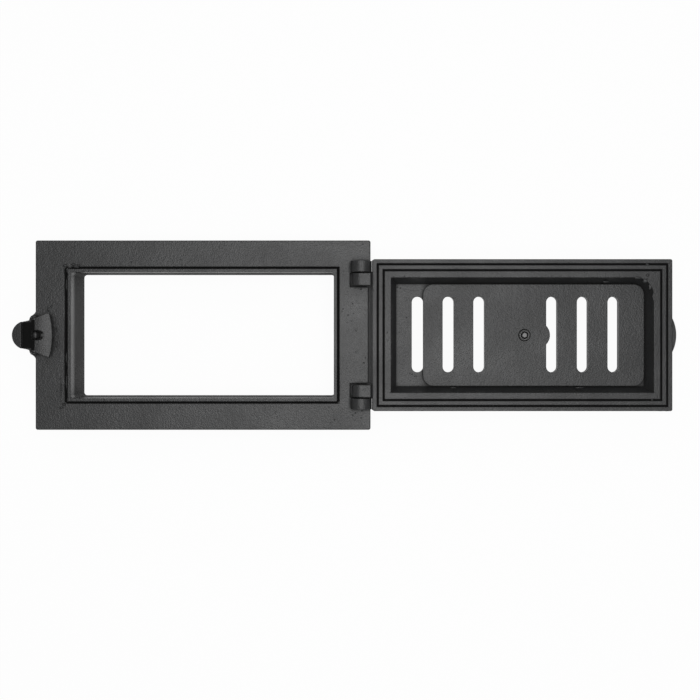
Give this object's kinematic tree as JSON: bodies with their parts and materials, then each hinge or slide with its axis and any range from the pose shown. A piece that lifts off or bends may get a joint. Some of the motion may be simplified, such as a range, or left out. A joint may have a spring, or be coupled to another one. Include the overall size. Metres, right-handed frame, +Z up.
{
  "type": "ash pit door",
  "caption": "Cast-iron ash pit door: flanged frame with sleeve, side-hinged door with slotted air pan, sliding damper with knob, and a sprung side latch.",
  "frame": {"origin": "middle of the opening, in the plane of the flange's back face, which is the wall's face", "axes": "+Y into the wall along the sleeve, +Z up along the hinge axis, +X from the latch to the hinges; the door is stored swung open by 180 degrees, as in the picture"},
  "size_m": [0.6274, 0.0595, 0.181],
  "materials": {
    "cast_iron": "black stove paint on sand-cast iron",
    "slide_iron": "black stove paint on sand-cast iron",
    "latch_iron": "black stove paint, rubbed at the edges",
    "stud_steel": "blackened steel, bright where riveted over",
    "pin_steel": "blackened steel",
    "spring_steel": "dark spring steel"
  },
  "bodies": {
    "frame_body": {"frame": "cast_iron", "hinge_pin_upper": "pin_steel", "hinge_pin_lower": "pin_steel", "latch_pin": "pin_steel", "latch_spring": "spring_steel", "spring_rivet": "pin_steel"},
    "door_body": {"door": "cast_iron"},
    "slide_body": {"damper_slide": "slide_iron", "damper_knob": "stud_steel", "damper_washer": "stud_steel"},
    "latch_body": {"latch_lever": "latch_iron"}
  },
  "joints": [
    {"name": "door_swing", "type": "hinge", "parent": "frame_body", "child": "door_body", "pos_m": [0.151, -0.0125, 0], "axis": [0, 0, -1], "range_deg": [0, 180]},
    {"name": "damper_travel", "type": "slide", "parent": "door_body", "child": "slide_body", "axis": [-1, 0, 0], "range_m": [0, 0.0146]},
    {"name": "latch_press", "type": "hinge", "parent": "frame_body", "child": "latch_body", "pos_m": [-0.1595, -0.009, 0], "axis": [0, 0, -1], "range_deg": [0, 18], "stiffness_Nm_per_rad": 0.08, "springref_deg": -20.05, "deforming": ["latch_spring"]}
  ]
}
